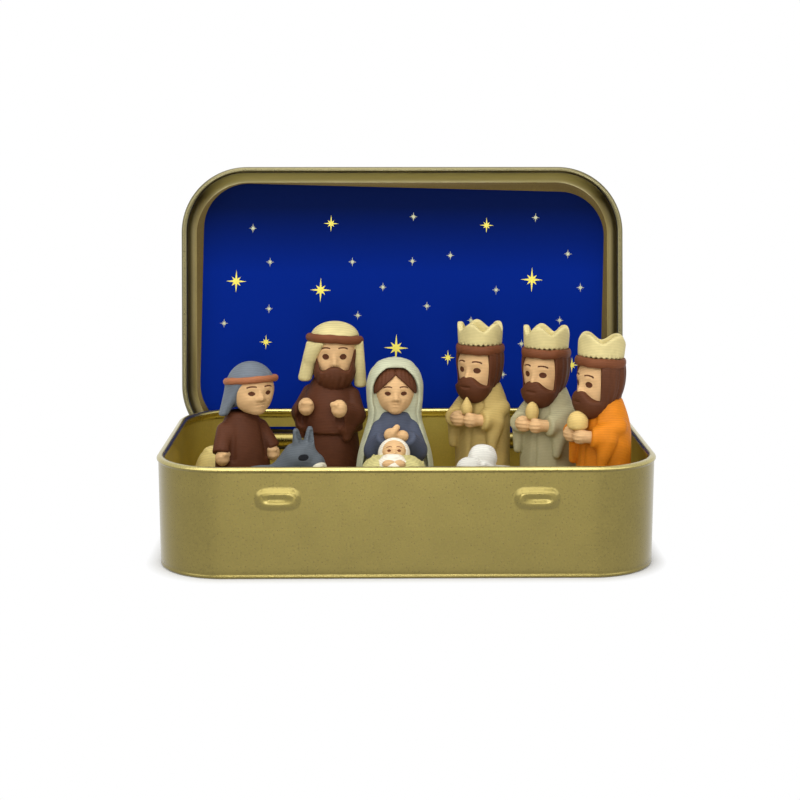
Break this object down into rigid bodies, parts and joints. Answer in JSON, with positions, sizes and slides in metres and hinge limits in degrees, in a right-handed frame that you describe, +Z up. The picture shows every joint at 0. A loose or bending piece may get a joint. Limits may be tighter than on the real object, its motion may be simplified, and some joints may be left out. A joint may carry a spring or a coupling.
{
  "type": "pocket nativity tin",
  "caption": "Hinged gold pocket tin, lid open, with a starry card glued in the lid and printed nativity figures standing in the tray as a small display scene.",
  "frame": {"origin": "centre of the tray's underside", "axes": "+X along the tin's width to the viewer's right, +Y towards the hinge, +Z up"},
  "size_m": [0.098, 0.0776, 0.0735],
  "materials": {
    "gold_tin": "satin gold lacquer on thin drawn sheet",
    "night_card": "satin print, deep blue with yellow stars",
    "skin_print": "layered 3-D print, silky matt",
    "band_print": "layered 3-D print, silky matt",
    "grey_print": "layered 3-D print, silky matt",
    "brown_print": "layered 3-D print, silky matt",
    "dark_brown_print": "layered 3-D print, silky matt",
    "yellow_print": "layered 3-D print, silky matt",
    "slate_print": "layered 3-D print, silky matt",
    "veil_print": "layered 3-D print, silky matt",
    "white_print": "layered 3-D print, silky matt",
    "sand_print": "layered 3-D print, silky matt",
    "beige_print": "layered 3-D print, silky matt",
    "sage_print": "layered 3-D print, silky matt",
    "orange_print": "layered 3-D print, silky matt"
  },
  "bodies": {
    "tray": {"tray": "gold_tin"},
    "lid": {"lid": "gold_tin", "backdrop_card": "night_card"},
    "shepherd": {"shepherd_hand_left": "skin_print", "shepherd_hand_right": "skin_print", "shepherd_headband": "band_print", "shepherd_face": "skin_print", "shepherd_headscarf": "grey_print", "shepherd_robe": "brown_print"},
    "elder": {"elder_hand_left": "skin_print", "elder_hand_right": "skin_print", "elder_headband": "band_print", "elder_face": "skin_print", "elder_beard": "dark_brown_print", "elder_headscarf": "yellow_print", "elder_robe": "brown_print"},
    "mother": {"mother_hands": "skin_print", "mother_hair": "dark_brown_print", "mother_face": "skin_print", "mother_dress": "slate_print", "mother_veil": "veil_print"},
    "infant": {"infant_face": "skin_print", "infant_hands": "skin_print", "infant_swaddle": "white_print", "infant_manger": "yellow_print"},
    "king_beige": {"king_beige_hands": "skin_print", "king_beige_gift": "sand_print", "king_beige_headband": "band_print", "king_beige_crown": "yellow_print", "king_beige_face": "skin_print", "king_beige_beard": "dark_brown_print", "king_beige_robe": "beige_print"},
    "king_sage": {"king_sage_hands": "skin_print", "king_sage_gift": "sand_print", "king_sage_headband": "band_print", "king_sage_crown": "yellow_print", "king_sage_face": "skin_print", "king_sage_beard": "dark_brown_print", "king_sage_robe": "sage_print"},
    "king_orange": {"king_orange_hands": "skin_print", "king_orange_gift": "sand_print", "king_orange_headband": "band_print", "king_orange_crown": "yellow_print", "king_orange_face": "skin_print", "king_orange_beard": "dark_brown_print", "king_orange_robe": "orange_print"},
    "donkey": {"donkey_muzzle": "white_print", "donkey_coat": "grey_print"},
    "sheep": {"sheep_fleece": "white_print"},
    "straw": {"straw_bundle": "sand_print"}
  },
  "joints": [
    {"name": "lid_hinge", "type": "hinge", "parent": "tray", "child": "lid", "pos_m": [0, 0.0289, 0.01442], "axis": [-1, 0, 0], "range_deg": [-50, 0]},
    {"name": "lift_shepherd", "type": "slide", "parent": "tray", "child": "shepherd", "axis": [0, 0, 1], "range_m": [0, 0.04]},
    {"name": "lift_elder", "type": "slide", "parent": "tray", "child": "elder", "axis": [0, 0, 1], "range_m": [0, 0.04]},
    {"name": "lift_mother", "type": "slide", "parent": "tray", "child": "mother", "axis": [0, 0, 1], "range_m": [0, 0.04]},
    {"name": "lift_infant", "type": "slide", "parent": "tray", "child": "infant", "axis": [0, 0, 1], "range_m": [0, 0.04]},
    {"name": "lift_king_beige", "type": "slide", "parent": "tray", "child": "king_beige", "axis": [0, 0, 1], "range_m": [0, 0.04]},
    {"name": "lift_king_sage", "type": "slide", "parent": "tray", "child": "king_sage", "axis": [0, 0, 1], "range_m": [0, 0.04]},
    {"name": "lift_king_orange", "type": "slide", "parent": "tray", "child": "king_orange", "axis": [0, 0, 1], "range_m": [0, 0.04]},
    {"name": "lift_donkey", "type": "slide", "parent": "tray", "child": "donkey", "axis": [0, 0, 1], "range_m": [0, 0.04]},
    {"name": "lift_sheep", "type": "slide", "parent": "tray", "child": "sheep", "axis": [0, 0, 1], "range_m": [0, 0.04]},
    {"name": "lift_straw", "type": "slide", "parent": "tray", "child": "straw", "axis": [0, 0, 1], "range_m": [0, 0.04]}
  ]
}
